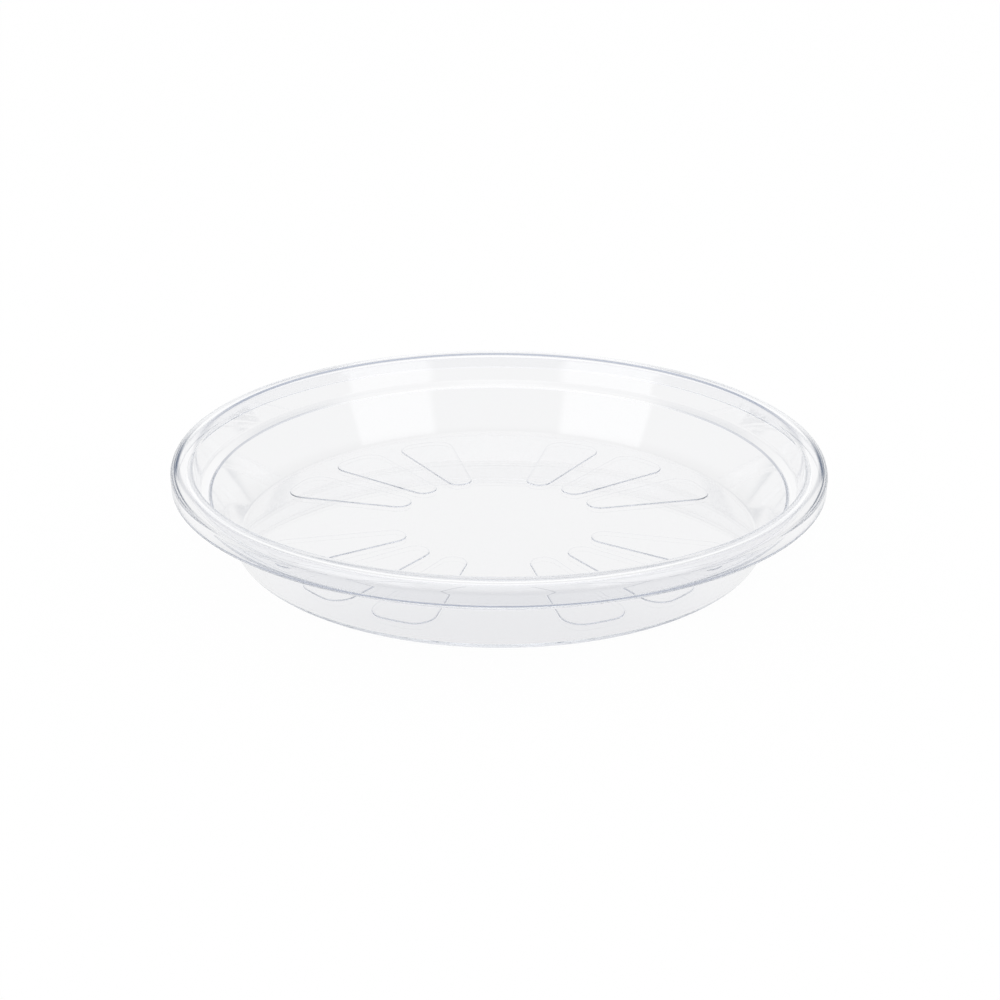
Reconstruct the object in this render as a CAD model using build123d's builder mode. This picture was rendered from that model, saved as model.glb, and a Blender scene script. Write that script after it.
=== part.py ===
"""Clear moulded plant saucer: flat floor with raised pads, stepped flaring wall and a rolled rim with a hanging lip."""

import os
from math import cos, radians, sin, sqrt, tan

from build123d import *

# Driving dimensions, in millimetres and degrees
lip_diameter = 210.0  # overall, across the outside of the lip
height = 29.8  # overall, from the table to the top of the rolled rim
wall = 2.0  # one thickness all over, as a moulding has

# Rolled rim
roll_bend_radius = 1.6  # hollow side of the roll
lip_drop = 7.5  # top of the roll down to the lip's lower edge
lip_edge_radius = 0.9

# Side wall, measured on the face that the water touches
upper_draft = 15.0
shoulder_height = 18.2  # table to the foot of the shoulder
shoulder_rise = 1.6
shoulder_width = 3.0
shoulder_bend_radius = 0.7  # tight side of both bends
lower_draft = 26.8
base_bend_radius = 1.5  # tight side of the bend between floor and wall

# Raised pads that keep a pot out of the water
pad_height = 0.35
pad_edge_radius = 0.1
pad_tip_radius = 4.5  # round inner end
pad_tip_distance = 32.8  # axis of the saucer to the inner end
pad_side_angle = 9.2  # each side leans out from the pad's middle line
pad_corner_radius = 6.3
pad_margin = 6.94  # outer end of a pad to the edge of the flat floor
pad_step = 22.5  # angle from one pad to the next
pads_per_quarter = 3
quarters = 4
quarter_turn = 360 / quarters

# Height band that picks the faces of one level
level_band = 0.01

# Section points on the upper face, from the axis out to the lip
lip_radius = lip_diameter / 2
roll_radius = roll_bend_radius + wall
roll_centre = (lip_radius - roll_radius, height - roll_radius)
upper_lean = radians(upper_draft)
upper_wall_top = (roll_centre[0] - roll_radius * cos(upper_lean), roll_centre[1] + roll_radius * sin(upper_lean))
shoulder_top_height = shoulder_height + shoulder_rise
shoulder_top = (upper_wall_top[0] - (upper_wall_top[1] - shoulder_top_height) * tan(upper_lean), shoulder_top_height)
shoulder_foot = (shoulder_top[0] - shoulder_width, shoulder_height)
floor_corner = (shoulder_foot[0] - (shoulder_height - wall) * tan(radians(lower_draft)), wall)
lip_end = (lip_radius, height - lip_drop)

# Flat part of the floor, and the pads that stand on it
flat_floor_radius = floor_corner[0] - base_bend_radius * tan(radians(90 - lower_draft) / 2)
pad_outer_radius = flat_floor_radius - pad_margin
pad_top = wall + pad_height
pad_lean = radians(pad_side_angle)
pad_tip_centre = pad_tip_distance + pad_tip_radius

# Where a pad's side meets the arc of its outer end
side_start = (pad_tip_centre - pad_tip_radius * sin(pad_lean), pad_tip_radius * cos(pad_lean))
side_reach = side_start[0] * cos(pad_lean) + side_start[1] * sin(pad_lean)
side_offset = side_start[1] * cos(pad_lean) - side_start[0] * sin(pad_lean)
side_length = sqrt(pad_outer_radius**2 - side_offset**2) - side_reach
pad_corner = (side_start[0] + side_length * cos(pad_lean), side_start[1] + side_length * sin(pad_lean))

os.makedirs("parts", exist_ok=True)

# One pad seen from above, along +X
with BuildSketch() as pad_outline:
    with BuildLine():
        tip = CenterArc((pad_tip_centre, 0), pad_tip_radius, 90 + pad_side_angle, 180 - 2 * pad_side_angle)
        Line(tip @ 0, pad_corner)
        Line(tip @ 1, (pad_corner[0], -pad_corner[1]))
        ThreePointArc(pad_corner, (pad_outer_radius, 0), (pad_corner[0], -pad_corner[1]))
    make_face()
    fillet(pad_outline.vertices().sort_by(Axis.X)[-2:], pad_corner_radius)

# The moulding: one section turned about the axis, with the pads raised on its floor
with BuildPart() as saucer:
    with BuildSketch(Plane.XZ) as section:
        with BuildLine():
            side = FilletPolyline(
                (0, wall),
                floor_corner,
                shoulder_foot,
                shoulder_top,
                upper_wall_top,
                radius=(base_bend_radius, shoulder_bend_radius + wall, shoulder_bend_radius),
            )
            roll = JernArc(side @ 1, side % 1, roll_radius, upper_draft - 180)
            Line(roll @ 1, lip_end)
            offset(amount=wall, side=Side.RIGHT)
        make_face()
        fillet(section.vertices().sort_by_distance(lip_end)[:2], lip_edge_radius)
    revolve(axis=Axis.Z)

    with BuildSketch(Plane.XY.offset(wall)):
        for quarter in range(quarters):
            first_pad = quarter * quarter_turn + pad_step
            pad_arc = (pads_per_quarter - 1) * pad_step
            with PolarLocations(0, pads_per_quarter, first_pad, pad_arc, endpoint=True):
                add(pad_outline.sketch)
    extrude(amount=pad_height)
    pad_faces = saucer.faces().filter_by_position(Axis.Z, pad_top - level_band, pad_top + level_band)
    fillet(pad_faces.edges(), pad_edge_radius)

saucer.part.label = "saucer"
export_step(saucer.part, "parts/saucer.step")
print("flat floor radius", round(flat_floor_radius, 2), "pad outer radius", round(pad_outer_radius, 2))
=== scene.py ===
"""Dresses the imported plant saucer: one clear moulding, standing on a pale floor in a plain studio."""

from math import asin, atan2, ceil, cos, pi, radians, sin, tan

import bmesh
import bpy
from bpy.props import FloatProperty, FloatVectorProperty, IntProperty, PointerProperty
from bpy.types import Operator, Panel, PropertyGroup
from mathutils import Matrix, Vector


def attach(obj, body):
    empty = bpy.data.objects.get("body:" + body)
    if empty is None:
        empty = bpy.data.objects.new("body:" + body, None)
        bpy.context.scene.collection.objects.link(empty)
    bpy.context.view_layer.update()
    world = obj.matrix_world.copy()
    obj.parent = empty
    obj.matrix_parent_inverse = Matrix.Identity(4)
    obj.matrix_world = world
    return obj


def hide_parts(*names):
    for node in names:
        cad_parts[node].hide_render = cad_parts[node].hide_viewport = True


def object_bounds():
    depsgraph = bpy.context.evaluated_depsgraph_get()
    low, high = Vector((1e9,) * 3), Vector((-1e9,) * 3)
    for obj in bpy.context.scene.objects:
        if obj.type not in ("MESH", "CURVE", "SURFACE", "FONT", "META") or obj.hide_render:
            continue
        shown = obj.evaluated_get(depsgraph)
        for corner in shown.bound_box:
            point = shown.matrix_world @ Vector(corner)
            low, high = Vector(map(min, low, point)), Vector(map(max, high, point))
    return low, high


bl_info = {
    "name": "Clear plant saucer",
    "version": (1, 0, 0),
    "blender": (4, 5, 0),
    "location": "View3D > Sidebar > Saucer",
    "description": "Builds a clear moulded plant saucer and the studio that it stands in",
    "category": "Add Mesh",
}

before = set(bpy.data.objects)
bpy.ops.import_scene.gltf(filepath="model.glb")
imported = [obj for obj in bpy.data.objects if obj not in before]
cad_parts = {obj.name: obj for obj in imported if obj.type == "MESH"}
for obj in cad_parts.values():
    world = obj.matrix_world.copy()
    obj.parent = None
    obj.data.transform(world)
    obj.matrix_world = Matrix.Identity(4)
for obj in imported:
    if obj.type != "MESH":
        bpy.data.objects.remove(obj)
CAD_LOW, CAD_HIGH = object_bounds()

MILLIMETRE = 0.001
UP = Vector((0, 0, 1))
# Name of the point attribute that holds the painted edge shade.
PAINTED_SHADE_ATTRIBUTE = "edge"


def length(name, description, millimetres):
    """A size that the sidebar shows as a length."""
    metres = millimetres * MILLIMETRE
    return FloatProperty(name=name, description=description, default=metres, unit="LENGTH", precision=5)


def angle(name, description, degrees):
    """An angle that the sidebar shows in degrees."""
    return FloatProperty(name=name, description=description, default=radians(degrees), subtype="ANGLE")


def share(name, description, default):
    """A share from none to all."""
    return FloatProperty(
        name=name, description=description, default=default, min=0, max=1, subtype="FACTOR"
    )


def strength(name, description, default):
    """A level that has no upper end; for light, one is white."""
    return FloatProperty(name=name, description=description, default=default, min=0)


def colour(name, description, default):
    """A colour in linear light."""
    return FloatVectorProperty(
        name=name, description=description, default=default, size=3, min=0, max=1, subtype="COLOR"
    )


class RimSizes(PropertyGroup):
    """The rolled rim and the lip that hangs from it."""

    outer_radius: FloatProperty(
        name="Outer radius",
        description="Axis to the outside of the lip",
        default=CAD_HIGH.x,
        unit="LENGTH",
        precision=5,
    )
    top: FloatProperty(
        name="Top",
        description="Floor to the top of the roll",
        default=CAD_HIGH.z,
        unit="LENGTH",
        precision=5,
    )
    roll_bend_radius: length("Roll", "Radius of the hollow side of the roll", 1.6)
    lip_drop: length("Lip drop", "Top of the roll down to the lip's lower edge", 7.5)
    lip_edge_radius: length("Lip edge", "Rounding along the lip's lower edge", 0.5)


class WallSizes(PropertyGroup):
    """The stepped side wall and the floor."""

    thickness: length("Thickness", "One thickness all over", 2.0)
    upper_draft: angle("Upper draft", "Lean of the wall above the shoulder", 15)
    shoulder_height: length("Shoulder height", "Floor to the foot of the shoulder", 18.2)
    shoulder_rise: length("Shoulder rise", "Climb across the shoulder", 1.6)
    shoulder_width: length("Shoulder width", "Breadth of the shoulder", 3.0)
    shoulder_bend_radius: length("Shoulder bend", "Tight side of the shoulder's two bends", 0.7)
    shoulder_line_radius: length("Shoulder line", "Rounding of the line along the shoulder's foot", 1.4)
    lower_draft: angle("Lower draft", "Lean of the wall below the shoulder", 26.8)
    base_bend_radius: length("Base bend", "Tight side of the bend between floor and wall", 1.5)


class PadSizes(PropertyGroup):
    """The raised pads on the floor."""

    height: length("Height", "Floor of the dish to a pad's top", 0.35)
    edge_radius: length("Top edge", "Rounding round a pad's top", 0.06)
    foot_radius: length("Foot", "Hollow rounding where a pad meets the floor", 0.05)
    # Painted shade: the width of the darker band painted round a pad's top.
    painted_shade_band: length("Rim", "Band round a pad's top that looks like its edge", 0.5)
    side_draft: angle("Side draft", "Lean of a pad's sides", 10)
    tip_radius: length("Inner end", "Radius of a pad's inner end", 4.5)
    tip_distance: length("Tip", "Axis to a pad's inner end", 32.8)
    side_angle: angle("Taper", "Angle of each side to a pad's middle line", 9.2)
    corner_radius: length("Corner", "Radius of the outer corners", 6.3)
    margin: length("Margin", "Outer end of a pad to the edge of the flat floor", 6.94)
    step: angle("Step", "Angle from one pad to the next", 22.5)
    per_quarter: IntProperty(name="Pads per quarter", description="Pads between two gaps", default=3, min=1)


class PlasticLook(PropertyGroup):
    """The clear plastic's finish."""

    tint: colour("Tint", "Colour of the clear plastic's faces", (0.975, 0.977, 0.985))
    flow_tint: colour("Flow tint", "Slightly denser streaks where the melt ran", (0.968, 0.970, 0.979))
    # Painted shade: the dark colour painted on tight edges, standing in for light held inside the plastic.
    painted_edge_shade: colour("Edge tint", "Colour of tight edges, where light stays inside", (0.30, 0.34, 0.45))
    index: FloatProperty(name="Index", description="Refractive index of the plastic", default=1.5, min=1)
    polish: share("Polish", "Roughness of the polished faces", 0.01)
    rub: share("Rub", "Roughness of the places that pots and hands rub", 0.03)
    edge_haze: share("Edge haze", "Roughness of the tight edges", 0.2)
    depth_colour: colour("Depth colour", "Colour that a long way through leaves", (0.0, 0.09, 0.26))
    depth: strength("Depth", "How fast a long way through the plastic darkens", 1.3)


class StudioLook(PropertyGroup):
    """The floor, the light and the camera."""

    floor_colour: colour("Floor", "Colour of the floor", (0.93, 0.93, 0.93))
    paper_colour: colour("Paper", "White paper that the camera sees", (1.0, 1.0, 1.0))
    # Painted light and shade on the floor, for the rays that the plastic bends: a painted pool of light,
    # painted shadows under the saucer and its front, and painted dark floor further out.
    painted_light_colour: colour("Glow", "Lit floor round the saucer as the plastic shows it", (0.95, 0.95, 0.95))
    painted_shadow_colour: colour("Table", "Floor under the saucer as the plastic shows it", (0.905, 0.905, 0.905))
    painted_front_shadow_colour: colour("Front", "Floor under the front as the plastic shows it", (0.85, 0.85, 0.855))
    painted_dark_floor_colour: colour("Dusk", "Unlit floor as the plastic shows it", (0.06, 0.09, 0.15))
    gap_colour: colour("Gap", "Dark gaps on both sides of the backdrop", (0.20, 0.24, 0.32))
    room_light: share("Room", "Light of the studio's walls", 0.86)
    upper_light: share("Upper backdrop", "Light of the backdrop higher up", 0.88)
    backdrop: strength("Backdrop", "Light of the backdrop near the floor", 1.05)
    left_box: strength("Left softbox", "Light of the softbox on the left", 1.7)
    right_box: strength("Right softbox", "Light of the softbox on the right", 1.6)
    ceiling: strength("Ceiling", "Light of the ceiling", 1.15)
    overhead: strength("Overhead", "Light of the lamp overhead", 1.6)
    lens: FloatProperty(
        name="Lens", description="Focal length in millimetres", default=50.775, subtype="DISTANCE_CAMERA"
    )
    distance: length("Distance", "Camera to the middle of the rim", 460.85)
    elevation: angle("Elevation", "Camera above the rim's level", 20.8276)
    tilt: angle("Tilt", "Aim below the middle of the rim", 1.9676)
    pan: angle("Pan", "Aim to the side", -0.0439)
    roll: angle("Roll", "Lean of the camera", 0.3353)


class SaucerSettings(PropertyGroup):
    """All the settings of the saucer and its studio."""

    rim: PointerProperty(type=RimSizes)
    wall: PointerProperty(type=WallSizes)
    pads: PointerProperty(type=PadSizes)
    plastic: PointerProperty(type=PlasticLook)
    studio: PointerProperty(type=StudioLook)


class Value:
    """A shader value that stands in Python sums: each operator adds a Math node."""

    def __init__(self, sheet, socket):
        self.sheet = sheet
        self.socket = socket

    def maths(self, operation, first, second):
        """The Value of one Math node."""
        return self.sheet.value("ShaderNodeMath", 0, {"operation": operation}, {0: first, 1: second})

    def __add__(self, other):
        return self.maths("ADD", self, other)

    def __radd__(self, other):
        return self.maths("ADD", other, self)

    def __sub__(self, other):
        return self.maths("SUBTRACT", self, other)

    def __rsub__(self, other):
        return self.maths("SUBTRACT", other, self)

    def __mul__(self, other):
        return self.maths("MULTIPLY", self, other)

    def __rmul__(self, other):
        return self.maths("MULTIPLY", other, self)

    def __truediv__(self, other):
        return self.maths("DIVIDE", self, other)

    def __pow__(self, other):
        return self.maths("POWER", self, other)


class NodeSheet:
    """A node tree that is written from top to bottom."""

    def __init__(self, tree):
        self.tree = tree
        tree.nodes.clear()

    def add(self, kind, settings=None, inputs=None):
        """Adds a node: its settings are set first, then the values or links of its sockets."""
        node = self.tree.nodes.new(kind)
        for name, setting in (settings or {}).items():
            setattr(node, name, setting)
        for key, given in (inputs or {}).items():
            if isinstance(given, Value):
                self.tree.links.new(given.socket, node.inputs[key])
            elif isinstance(given, bpy.types.NodeSocket):
                self.tree.links.new(given, node.inputs[key])
            else:
                node.inputs[key].default_value = given
        return node

    def value(self, kind, output, settings=None, inputs=None):
        """Adds a node and gives one of its outputs as a Value."""
        return Value(self, self.add(kind, settings, inputs).outputs[output])

    def ramp(self, source, low, high):
        """A smooth step of a Value from nought at low to one at high."""
        return self.value(
            "ShaderNodeMapRange",
            "Result",
            {"interpolation_type": "SMOOTHSTEP"},
            {"Value": source, "From Min": low, "From Max": high},
        )

    def blend(self, factor, first, second):
        """A colour between two colours."""
        settings = {"data_type": "RGBA", "clamp_factor": True}
        return self.value("ShaderNodeMix", 2, settings, {0: factor, 6: first, 7: second})


def opaque(tone):
    """A colour with full alpha, as sockets take it."""
    return (*tone, 1.0)


def climb(value, low, high):
    """A straight climb from nought at low to one at high."""
    return min(max((value - low) / (high - low), 0.0), 1.0)


def bent_line(corners, radii, step):
    """Samples a line with rounded corners: point, normal on the left, corner, share turned there."""
    samples = []
    first = (corners[1] - corners[0]).normalized()
    samples.append((corners[0], Vector((-first.y, first.x)), 0, 0.0))
    for index, radius in enumerate(radii, 1):
        corner = corners[index]
        before = (corner - corners[index - 1]).normalized()
        after = (corners[index + 1] - corner).normalized()
        turn = atan2(before.x * after.y - before.y * after.x, before.dot(after))
        side = radius if turn > 0 else -radius
        start = corner - before * radius * tan(abs(turn) / 2)
        centre = start + side * Vector((-before.y, before.x))
        heading = atan2(before.y, before.x)
        count = ceil(abs(turn) / step)
        for number in range(count + 1):
            turned = number / count
            bearing = heading + turn * turned
            normal = Vector((-sin(bearing), cos(bearing)))
            samples.append((centre - side * normal, normal, index, turned))
    last = (corners[-1] - corners[-2]).normalized()
    samples.append((corners[-1], Vector((-last.y, last.x)), 0, 0.0))
    return samples


def under_corner(before, corner, after, depth):
    """The corner of a parallel line that runs at a depth to the right."""
    first = (corner - before).normalized()
    second = (after - corner).normalized()
    first_normal = Vector((-first.y, first.x))
    second_normal = Vector((-second.y, second.x))
    return corner - (first_normal + second_normal) * depth / (1 + first_normal.dot(second_normal))


class SaucerShape:
    """Works out the saucer's section and pads from its settings."""

    bend_step = radians(2.5)
    pad_bend_step = radians(7.5)
    pad_edge_step = radians(15)
    least_steps = 8
    # Corners and shares of the painted shade: dark lines painted on tight edges, stronger on some sides
    # than others.
    shoulder_corner = 2
    shoulder_painted_shade = 0.6
    shoulder_painted_shade_sides = (0.6, 0.8)
    roll_corner = 4
    roll_painted_shade = 1.0
    roll_painted_shade_line = (radians(48), radians(64))
    roll_painted_shade_back = (0.0, 0.4)
    lip_corner = 6
    lip_painted_shade = (1.0, 0.1)
    pad_painted_shade = 0.45
    pad_rim_painted_shade = 0.3

    def __init__(self, settings):
        self.rim = settings.rim
        self.wall = settings.wall
        self.pads = settings.pads
        wall = self.wall
        roll_radius = self.rim.roll_bend_radius + wall.thickness
        roll_turn = pi - wall.upper_draft
        roll_level = self.rim.top - roll_radius
        roll_apex = Vector((self.rim.outer_radius, roll_level + roll_radius * tan(roll_turn / 2)))
        lean = tan(wall.upper_draft)
        shoulder_top_height = wall.shoulder_height + wall.shoulder_rise
        upper_run = (roll_apex.y - shoulder_top_height) * lean
        shoulder_top = Vector((roll_apex.x - upper_run, shoulder_top_height))
        shoulder_foot = Vector((shoulder_top.x - wall.shoulder_width, wall.shoulder_height))
        lower_run = (wall.shoulder_height - wall.thickness) * tan(wall.lower_draft)
        floor_corner = Vector((shoulder_foot.x - lower_run, wall.thickness))
        lip_end = Vector((self.rim.outer_radius, self.rim.top - self.rim.lip_drop))
        middle = Vector((0, wall.thickness))
        self.upper = [middle, floor_corner, shoulder_foot, shoulder_top, roll_apex, lip_end]
        tight = wall.shoulder_bend_radius
        wide = tight + wall.thickness
        self.upper_radii = [wall.base_bend_radius, wall.shoulder_line_radius, tight, roll_radius]
        self.under_radii = [self.rim.roll_bend_radius, wide, tight, wall.base_bend_radius + wall.thickness]
        self.flat_radius = floor_corner.x - wall.base_bend_radius * tan((pi / 2 - wall.lower_draft) / 2)

    def section(self):
        """The closed section, from the flat floor's edge over the rim to the flat underside's edge."""
        thickness = self.wall.thickness
        inner_lip = self.upper[-1] - Vector((thickness, 0))
        trios = zip(self.upper, self.upper[1:], self.upper[2:])
        under = [under_corner(before, corner, after, thickness) for before, corner, after in trios]
        corners = self.upper + [inner_lip] + under[::-1] + [Vector((0, 0))]
        lip_edges = [self.rim.lip_edge_radius] * 2
        radii = self.upper_radii + lip_edges + self.under_radii
        return bent_line(corners, radii, self.bend_step)[1:-1]

    def painted_shade_share(self, normal, corner, turned, bearing):
        """How much painted shade a spot of the section gets: dark lines on the lip, the shoulder's sides
        and the back of the roll, set by bearing.
        """
        back = sin(bearing)
        if corner == self.lip_corner and normal.y < -self.bend_step:
            near, far = self.lip_painted_shade
            return near + (far - near) * (1 + back) / 2
        if corner == self.shoulder_corner and 0 < turned < 1:
            return self.shoulder_painted_shade * climb(abs(cos(bearing)), *self.shoulder_painted_shade_sides)
        low, high = self.roll_painted_shade_line
        if corner == self.roll_corner and low < atan2(normal.y, -normal.x) < high:
            return self.roll_painted_shade * climb(back, *self.roll_painted_shade_back)
        return 0.0

    def pad_outline(self):
        """One pad along +X from above: centres, radii and normals that a parallel outline shares."""
        pads = self.pads
        outer = self.flat_radius - pads.margin
        tip_centre = pads.tip_distance + pads.tip_radius
        side_offset = pads.tip_radius - tip_centre * sin(pads.side_angle)
        reach = outer - pads.corner_radius
        corner_bearing = pads.side_angle + asin((side_offset - pads.corner_radius) / reach)
        corner = reach * Vector((cos(corner_bearing), sin(corner_bearing)))
        quarter = pi / 2
        side_bearing = quarter + pads.side_angle
        arcs = (
            (Vector((tip_centre, 0)), pads.tip_radius, side_bearing, 2 * pi - side_bearing, 0),
            (Vector((corner.x, -corner.y)), pads.corner_radius, -side_bearing, -corner_bearing, 0),
            (Vector((0, 0)), outer, -corner_bearing, corner_bearing, 1),
            (corner, pads.corner_radius, corner_bearing, side_bearing, 1),
        )
        outline = []
        for centre, radius, start, end, shared in arcs:
            count = max(ceil((end - start) / self.pad_bend_step), self.least_steps)
            for number in range(shared, count + 1):
                bearing = start + (end - start) * number / count
                outline.append((centre, radius, Vector((cos(bearing), sin(bearing)))))
        return outline

    def pad_side(self):
        """A pad's side from floor to top: steps inwards and upwards, normals and shares of painted edge
        shade.
        """
        pads = self.pads
        floor = self.wall.thickness
        lean = pads.height * tan(pads.side_draft)
        corners = [
            Vector((-pads.tip_radius, floor)),
            Vector((0, floor)),
            Vector((lean, floor + pads.height)),
            Vector((pads.tip_radius, floor + pads.height)),
        ]
        samples = bent_line(corners, [pads.foot_radius, pads.edge_radius], self.pad_edge_step)[1:-1]
        # Painted shade: the pad's side and top edge get painted dark lines, fading out across the band
        # round the top.
        shares = [0.0] + [self.pad_painted_shade] * (len(samples) - 2) + [self.pad_rim_painted_shade]
        side = [(*sample[:2], edge) for sample, edge in zip(samples, shares)]
        top, upright, _ = side[-1]
        return side + [(top + Vector((pads.painted_shade_band, 0)), upright, 0.0)]

    def pad_bearings(self):
        """The direction of each pad, in groups with a gap between them."""
        gap = self.pads.step * (self.pads.per_quarter + 1)
        groups = round(2 * pi / gap)
        for group in range(groups):
            for number in range(self.pads.per_quarter):
                yield group * gap + (number + 1) * self.pads.step


class SmoothMesh:
    """Collects loops of points with their true normals, so that light bends without facets."""

    def __init__(self):
        self.mesh = bmesh.new()
        self.normals = []
        # Shares of painted edge shade, one for each point.
        self.edges = []

    def loop(self, spots):
        """Adds a closed loop of points, with their normals and their shares of painted edge shade."""
        points = []
        for place, normal, edge in spots:
            points.append(self.mesh.verts.new(place))
            self.normals.append(normal)
            self.edges.append(edge)
        return points

    def bridge(self, first, second):
        """Joins two loops of the same count with a band of faces."""
        for corners in zip(first, first[1:] + first[:1], second[1:] + second[:1], second):
            self.mesh.faces.new(corners)

    def cap(self, loop):
        """Closes a flat loop."""
        self.mesh.faces.new(loop)

    def fill(self, loops):
        """Fills the flat floor between an outer loop and the loops that stand in it."""
        edges = []
        for loop in loops:
            for pair in zip(loop, loop[1:] + loop[:1]):
                edges.append(self.mesh.edges.get(pair) or self.mesh.edges.new(pair))
        bmesh.ops.triangle_fill(self.mesh, use_beauty=True, edges=edges, normal=UP)

    def piece(self, name, material):
        """Makes the object, closed all round."""
        bmesh.ops.recalc_face_normals(self.mesh, faces=self.mesh.faces)
        if not all(edge.is_manifold for edge in self.mesh.edges):
            raise RuntimeError(f"{name} isn't closed")
        for face in self.mesh.faces:
            face.smooth = True
        data = bpy.data.meshes.new(name)
        self.mesh.to_mesh(data)
        self.mesh.free()
        data.normals_split_custom_set_from_vertices(self.normals)
        data.attributes.new(PAINTED_SHADE_ATTRIBUTE, "FLOAT", "POINT").data.foreach_set("value", self.edges)
        data.materials.append(material)
        made = bpy.data.objects.new(name, data)
        bpy.context.scene.collection.objects.link(made)
        return made


STREAK_SCALE = 35.0
STREAK_DETAIL = 3.0
WEAR_SCALE = 90.0
WEAR_DETAIL = 4.0
WEAR_EDGE = (0.55, 0.75)


def clear_plastic(look):
    """Polished clear plastic with faint flow streaks, fine rubbing and painted shade: dark lines painted on
    tight edges.
    """
    material = bpy.data.materials.new("clear_plastic")
    material.use_nodes = True
    sheet = NodeSheet(material.node_tree)
    place = sheet.add("ShaderNodeTexCoord").outputs["Object"]
    flow = {"Vector": place, "Scale": STREAK_SCALE, "Detail": STREAK_DETAIL}
    streaks = sheet.value("ShaderNodeTexNoise", 0, None, flow)
    # Painted shade: the attribute's shares blend the tint towards the painted edge colour.
    edge = sheet.value("ShaderNodeAttribute", "Fac", {"attribute_name": PAINTED_SHADE_ATTRIBUTE})
    tint = sheet.blend(streaks, opaque(look.tint), opaque(look.flow_tint))
    tint = sheet.blend(edge, tint, opaque(look.painted_edge_shade))
    wear = {"Vector": place, "Scale": WEAR_SCALE, "Detail": WEAR_DETAIL}
    worn = sheet.value("ShaderNodeTexNoise", 0, None, wear)
    finish = look.polish + sheet.ramp(worn, *WEAR_EDGE) * (look.rub - look.polish)
    finish = finish + edge * (look.edge_haze - look.polish)
    shader = sheet.add(
        "ShaderNodeBsdfPrincipled",
        None,
        {
            "Base Color": tint,
            "Roughness": finish,
            "IOR": look.index,
            "Transmission Weight": 1.0,
        },
    )
    inside = {"Color": opaque(look.depth_colour), "Density": look.depth}
    depth = sheet.add("ShaderNodeVolumeAbsorption", None, inside)
    ends = {"Surface": shader.outputs[0], "Volume": depth.outputs[0]}
    sheet.add("ShaderNodeOutputMaterial", None, ends)
    return material


class SAUCER_OT_moulding(Operator):
    """Builds the clear moulding in place of the plain solid"""

    bl_idname = "saucer.moulding"
    bl_label = "Clear moulding"

    segments = 360

    def execute(self, context):
        settings = context.scene.saucer
        shape = SaucerShape(settings)
        mesh = SmoothMesh()
        bearings = [2 * pi * number / self.segments for number in range(self.segments)]
        rings = []
        for point, normal, corner, turned in shape.section():
            spots = []
            for bearing in bearings:
                outwards = Vector((cos(bearing), sin(bearing), 0))
                place = outwards * point.x + UP * point.y
                facing = outwards * normal.x + UP * normal.y
                # Each spot's share of painted edge shade.
                spots.append((place, facing, shape.painted_shade_share(normal, corner, turned, bearing)))
            rings.append(mesh.loop(spots))
        for first, second in zip(rings, rings[1:]):
            mesh.bridge(first, second)
        mesh.cap(rings[-1])

        feet = []
        outline = shape.pad_outline()
        side = shape.pad_side()
        for bearing in shape.pad_bearings():
            turn = Matrix.Rotation(bearing, 3, "Z")
            loops = []
            # Each step carries its share of painted edge shade.
            for step, lean, edge in side:
                spots = []
                for centre, radius, outwards in outline:
                    spot = centre + outwards * (radius - step.x)
                    place = Vector((spot.x, spot.y, step.y))
                    normal = Vector((-outwards.x * lean.x, -outwards.y * lean.x, lean.y))
                    spots.append((turn @ place, turn @ normal, edge))
                loops.append(mesh.loop(spots))
            for first, second in zip(loops, loops[1:]):
                mesh.bridge(first, second)
            mesh.cap(loops[-1])
            feet.append(loops[0])
        mesh.fill([rings[0]] + feet)

        piece = mesh.piece("saucer_moulding", clear_plastic(settings.plastic))
        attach(piece, "root")
        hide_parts("saucer")
        return {"FINISHED"}


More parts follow.
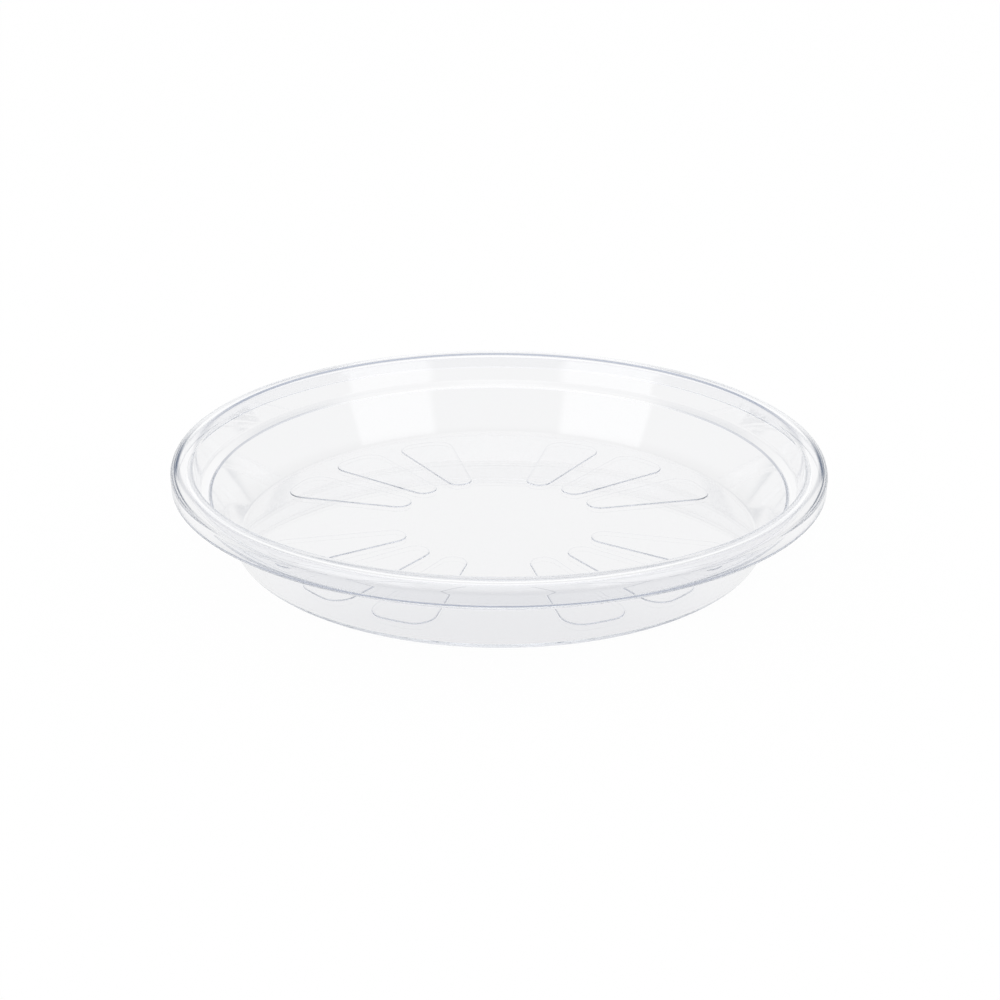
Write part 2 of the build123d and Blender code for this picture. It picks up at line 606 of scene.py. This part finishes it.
class SAUCER_OT_studio(Operator):
    """Lays the pale floor and sets the light and the camera"""

    bl_idname = "saucer.studio"
    bl_label = "Studio"

    floor_drop = 0.2 * MILLIMETRE
    floor_reach = 12.0
    floor_count = 96
    paper_share = 0.975
    # Where the painted light, the painted shadows and the painted dark floor lie.
    painted_light_middle = 0.075
    painted_light_edge = (0.26, 0.165)
    painted_light_back = (0.68, 0.86)
    painted_shadow_edge = (0.100, 0.088)
    painted_front_shadow_side = (-0.45, -1.0)
    painted_front_shadow_edge = (-0.04, -0.07)
    backdrop_edge = (0.925, 0.965)
    backdrop_top = (0.52, 0.42)
    gap_inner = (0.955, 0.901)
    gap_outer = (0.765, 0.840)
    side_edge = (-0.01, 0.01)
    box_lean = (0.35, 0.11)
    left_box_edges = ((-0.45, -0.495), (-0.945, -0.90))
    right_box_edges = ((-0.475, -0.52), (-0.925, -0.88))
    box_foot = (0.0, 0.08)
    box_top = (0.76, 0.66)
    ceiling_edge = (0.80, 0.88)
    overhead_edge = (0.945, 0.97)
    lamp_reach = 1.2
    lamp_lift = radians(24)
    lamp_bearings = {"softbox_left": radians(-50), "softbox_right": radians(50)}
    lamp_sides = (1.0, 0.9)
    lamp_light = 0.4
    sensor_width = 36
    clip_range = (0.01, 100)
    light_bounces = 128

    def execute(self, context):
        look = context.scene.saucer.studio
        self.lay_floor(look)
        self.light_room(context.scene, look)
        self.hang_lamps()
        self.place_camera(context.scene, look, context.scene.saucer)
        return {"FINISHED"}

    def rays(self, sheet):
        """One for the rays that look straight, one for those that the plastic mirrors or lets through."""
        path = sheet.add("ShaderNodeLightPath").outputs
        names = ("Is Camera Ray", "Is Glossy Ray", "Is Transmission Ray")
        straight, glossy, through = (Value(sheet, path[name]) for name in names)
        return straight, glossy + through - glossy * through

    def axes(self, sheet, coordinates):
        """The three parts of a place or a direction, and its reach from the upright axis."""
        given = sheet.add("ShaderNodeTexCoord").outputs[coordinates]
        parts = sheet.add("ShaderNodeSeparateXYZ", None, {0: given}).outputs
        x, y, z = (Value(sheet, part) for part in parts)
        return x, y, z, (x * x + y * y) ** 0.5

    def lay_floor(self, look):
        """A wide pale floor that looks white and keeps the saucer's real shadow in its matt part; for the
        rays that the plastic bends it shows painted light and painted shadow.
        """
        mesh = bmesh.new()
        bmesh.ops.create_circle(mesh, cap_ends=True, segments=self.floor_count, radius=self.floor_reach)
        data = bpy.data.meshes.new("studio_floor")
        mesh.to_mesh(data)
        mesh.free()
        floor = bpy.data.objects.new("studio_floor", data)
        floor.location.z = -self.floor_drop
        bpy.context.scene.collection.objects.link(floor)
        material = bpy.data.materials.new("pale_floor")
        material.use_nodes = True
        sheet = NodeSheet(material.node_tree)
        straight, bent = self.rays(sheet)
        x, y, _, reach = self.axes(sheet, "Object")
        # Painted light and shade for the rays that the plastic bends: a pool of light round a spot behind
        # the middle.
        ahead = y - self.painted_light_middle
        off = (x * x + ahead * ahead) ** 0.5
        bearing = y / reach
        # Painted shadow under the saucer's front, and painted shadow under the whole saucer.
        front = sheet.ramp(bearing, *self.painted_front_shadow_side) * sheet.ramp(y, *self.painted_front_shadow_edge)
        under = sheet.ramp(reach, *self.painted_shadow_edge)
        painted_light_and_shadow = sheet.blend(under, opaque(look.painted_light_colour), opaque(look.painted_shadow_colour))
        painted_light_and_shadow = sheet.blend(front, painted_light_and_shadow, opaque(look.painted_front_shadow_colour))
        # Painted dark floor outside the pool of light, except behind.
        painted_dark_mask = (1 - sheet.ramp(off, *self.painted_light_edge)) * (1 - sheet.ramp(bearing, *self.painted_light_back))
        shown = sheet.blend(painted_dark_mask, painted_light_and_shadow, opaque(look.painted_dark_floor_colour))
        shown = sheet.blend(straight, shown, opaque(look.paper_colour))
        # The emission shows white paper to the camera and the painted light and shadow to the rays that the
        # plastic bends.
        paper = sheet.add("ShaderNodeEmission", None, {"Color": shown, "Strength": 1.0})
        matt = sheet.add("ShaderNodeBsdfDiffuse", None, {"Color": opaque(look.floor_colour)})
        factor = straight * self.paper_share + bent
        faces = {0: factor, 1: matt.outputs[0], 2: paper.outputs[0]}
        mixed = sheet.add("ShaderNodeMixShader", None, faces)
        sheet.add("ShaderNodeOutputMaterial", None, {"Surface": mixed.outputs[0]})
        data.materials.append(material)

    def light_room(self, scene, look):
        """White for the camera and the floor; walls, gaps, softboxes and a ceiling for the plastic."""
        world = bpy.data.worlds.new("studio")
        scene.world = world
        world.use_nodes = True
        sheet = NodeSheet(world.node_tree)
        _, bent = self.rays(sheet)
        x, y, z, level = self.axes(sheet, "Generated")
        bearing = y / level
        ceiling = sheet.ramp(z, *self.ceiling_edge)
        behind = sheet.ramp(bearing, *self.backdrop_edge)
        low = sheet.ramp(z, *self.backdrop_top)
        back_light = look.upper_light + low * (look.backdrop - look.upper_light)
        light = look.room_light + behind * (back_light - look.room_light)
        right = sheet.ramp(x, *self.side_edge)
        outer, inner = (bearing - z * lean for lean in self.box_lean)
        for side, edges, box_light in (
            (1 - right, self.left_box_edges, look.left_box),
            (right, self.right_box_edges, look.right_box),
        ):
            box = side * sheet.ramp(outer, *edges[0]) * sheet.ramp(inner, *edges[1])
            box = box * sheet.ramp(z, *self.box_foot) * sheet.ramp(z, *self.box_top)
            light = light + box * (box_light - light)
        light = light + ceiling * (look.ceiling - light)
        light = light + sheet.ramp(z, *self.overhead_edge) * (look.overhead - look.ceiling)
        gaps = sheet.ramp(bearing, *self.gap_inner) * sheet.ramp(bearing, *self.gap_outer) * (1 - ceiling)
        tone = sheet.blend(gaps, opaque(look.paper_colour), opaque(look.gap_colour))
        room = sheet.value("ShaderNodeVectorMath", 0, {"operation": "SCALE"}, {0: tone, "Scale": light})
        white = {"Color": opaque(look.paper_colour), "Strength": 1.0}
        shown = sheet.add("ShaderNodeBackground", None, white)
        studio = sheet.add("ShaderNodeBackground", None, {"Color": room, "Strength": 1.0})
        sides = {0: bent, 1: shown.outputs[0], 2: studio.outputs[0]}
        mixed = sheet.add("ShaderNodeMixShader", None, sides)
        sheet.add("ShaderNodeOutputWorld", None, {"Surface": mixed.outputs[0]})

    def hang_lamps(self):
        """Two large soft lamps, one on each side of the camera, that light the floor."""
        width, tall = self.lamp_sides
        for name, bearing in self.lamp_bearings.items():
            level = cos(self.lamp_lift)
            away = Vector((sin(bearing) * level, -cos(bearing) * level, sin(self.lamp_lift)))
            lamp = bpy.data.lights.new(name, "AREA")
            lamp.shape = "RECTANGLE"
            lamp.size = width
            lamp.size_y = tall
            lamp.energy = pi * width * tall * self.lamp_light
            box = bpy.data.objects.new(name, lamp)
            box.location = away * self.lamp_reach
            box.rotation_mode = "QUATERNION"
            box.rotation_quaternion = (-away).to_track_quat("-Z", "Y")
            box.visible_camera = False
            box.visible_glossy = False
            box.visible_transmission = False
            bpy.context.scene.collection.objects.link(box)

    def place_camera(self, scene, look, settings):
        """The camera of the photograph, aimed a little below the rim."""
        roll_radius = settings.rim.roll_bend_radius + settings.wall.thickness
        rim_level = settings.rim.top - roll_radius
        stand = look.distance * Vector((0, -cos(look.elevation), sin(look.elevation))) + UP * rim_level
        pitch = look.elevation + look.tilt
        back = Vector((sin(look.pan) * cos(pitch), -cos(look.pan) * cos(pitch), sin(pitch)))
        right = Vector((cos(look.pan), sin(look.pan), 0))
        top = back.cross(right)
        leaned_right = cos(look.roll) * right + sin(look.roll) * top
        leaned_top = cos(look.roll) * top - sin(look.roll) * right
        data = bpy.data.cameras.new("photo_camera")
        data.lens = look.lens
        data.sensor_width = self.sensor_width
        data.sensor_fit = "HORIZONTAL"
        data.clip_start, data.clip_end = self.clip_range
        camera = bpy.data.objects.new("photo_camera", data)
        axes = Matrix((leaned_right, leaned_top, back)).transposed()
        camera.matrix_world = Matrix.Translation(stand) @ axes.to_4x4()
        scene.collection.objects.link(camera)
        scene.camera = camera
        scene.view_settings.view_transform = "Standard"
        scene.cycles.max_bounces = self.light_bounces
        scene.cycles.glossy_bounces = self.light_bounces
        scene.cycles.transmission_bounces = self.light_bounces


class SAUCER_PT_panel(Panel):
    """Lists the saucer's settings and its makers"""

    bl_idname = "SAUCER_PT_panel"
    bl_label = "Plant saucer"
    bl_space_type = "VIEW_3D"
    bl_region_type = "UI"
    bl_category = "Saucer"

    def draw(self, context):
        settings = context.scene.saucer
        for group in (settings.rim, settings.wall, settings.pads, settings.plastic, settings.studio):
            box = self.layout.box()
            for name in group.__annotations__:
                box.prop(group, name)
        self.layout.operator(SAUCER_OT_moulding.bl_idname)
        self.layout.operator(SAUCER_OT_studio.bl_idname)


CLASSES = (
    RimSizes,
    WallSizes,
    PadSizes,
    PlasticLook,
    StudioLook,
    SaucerSettings,
    SAUCER_OT_moulding,
    SAUCER_OT_studio,
    SAUCER_PT_panel,
)


def register():
    """Registers the classes and hangs the settings on the scene."""
    for kind in CLASSES:
        bpy.utils.register_class(kind)
    bpy.types.Scene.saucer = PointerProperty(type=SaucerSettings)


def unregister():
    """Takes the settings and the classes away again."""
    del bpy.types.Scene.saucer
    for kind in reversed(CLASSES):
        bpy.utils.unregister_class(kind)


def main():
    """Builds everything."""
    register()
    bpy.ops.saucer.studio()
    bpy.ops.saucer.moulding()


if __name__ == "__main__":
    main()
